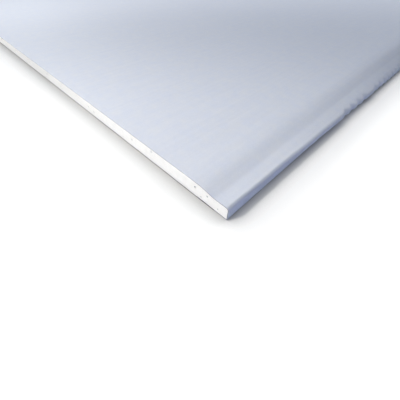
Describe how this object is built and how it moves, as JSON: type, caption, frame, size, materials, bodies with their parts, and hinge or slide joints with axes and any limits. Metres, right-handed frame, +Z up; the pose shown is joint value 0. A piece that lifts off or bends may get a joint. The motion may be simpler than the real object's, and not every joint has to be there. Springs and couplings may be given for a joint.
{
  "type": "drywall sheet",
  "caption": "Flat drywall sheet: a white gypsum core in pale grey-blue face paper folded round its tapered long edges, with bare sawn ends, for lining walls and ceilings.",
  "frame": {"origin": "middle of the back of the sheet, on the surface that it lies on", "axes": "+X across the sheet towards a tapered long edge, +Y along the sheet towards a sawn end, +Z up out of the paper face"},
  "size_m": [1.2, 2.4, 0.015],
  "materials": {
    "gypsum": "bare set gypsum, matt and finely porous, sawn at the ends",
    "face_paper": "pale grey-blue lining paper, matt with a fine fibre grain",
    "back_paper": "grey-brown recycled liner paper, matt and flecked"
  },
  "bodies": {
    "root": {"gypsum_core": "gypsum", "face_paper": "face_paper", "back_paper": "back_paper"}
  },
  "joints": []
}
